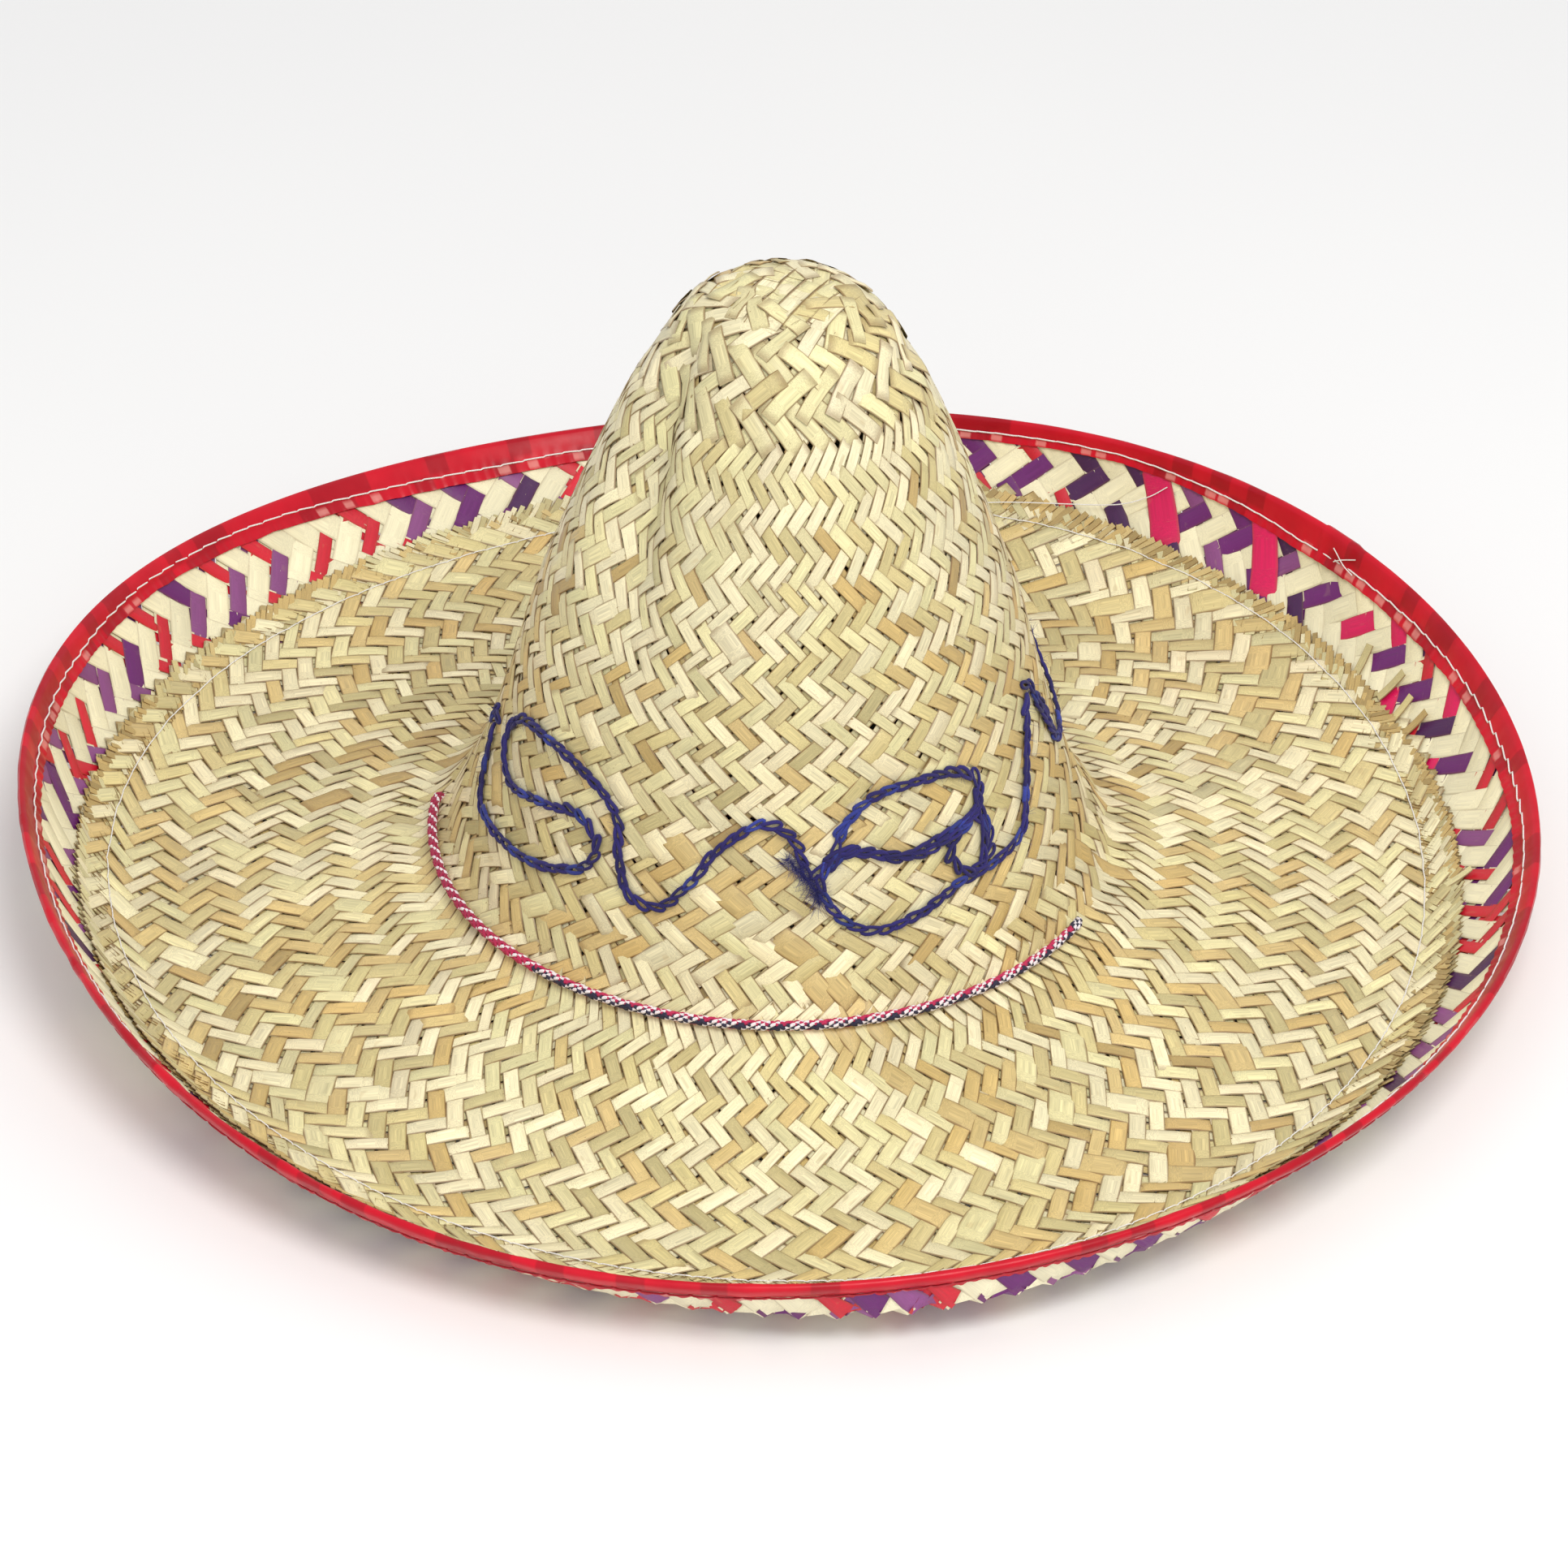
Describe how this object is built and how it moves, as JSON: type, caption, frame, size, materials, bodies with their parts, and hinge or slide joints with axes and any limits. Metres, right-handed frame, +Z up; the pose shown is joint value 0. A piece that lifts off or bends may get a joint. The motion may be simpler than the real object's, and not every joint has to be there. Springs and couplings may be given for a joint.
{
  "type": "sombrero",
  "caption": "Wide-brimmed conical straw sombrero with turned-up bound rim, coloured woven border, yarn-stitched crown and braided chin cord.",
  "frame": {"origin": "on the surface the hat rests on, under the middle of the rim's outline", "axes": "+Z up along the crown; the embroidered front faces -Y"},
  "size_m": [0.5222, 0.5252, 0.2301],
  "materials": {
    "palm_straw": "plaited natural palm strip, satin",
    "dyed_palm": "plaited palm strip, cream with purple, red and magenta strips",
    "red_vinyl": "glossy folded vinyl tape",
    "white_thread": "sewing thread",
    "red_thread": "sewing thread",
    "blue_yarn": "soft chain-stitched yarn",
    "braided_cord": "round braid, pink and navy with white flecks"
  },
  "bodies": {
    "root": {"woven_straw_body": "palm_straw", "coloured_border_band": "dyed_palm", "rim_binding": "red_vinyl", "brim_seam_needle_thread": "white_thread", "brim_seam_bobbin_thread": "white_thread", "binding_needle_thread": "white_thread", "binding_bobbin_thread": "red_thread", "crown_yarn_left": "blue_yarn", "crown_yarn_right": "blue_yarn", "hat_cord_front": "braided_cord", "chin_cord_left": "braided_cord", "chin_cord_right": "braided_cord", "chin_cord_knot": "braided_cord"}
  },
  "joints": []
}
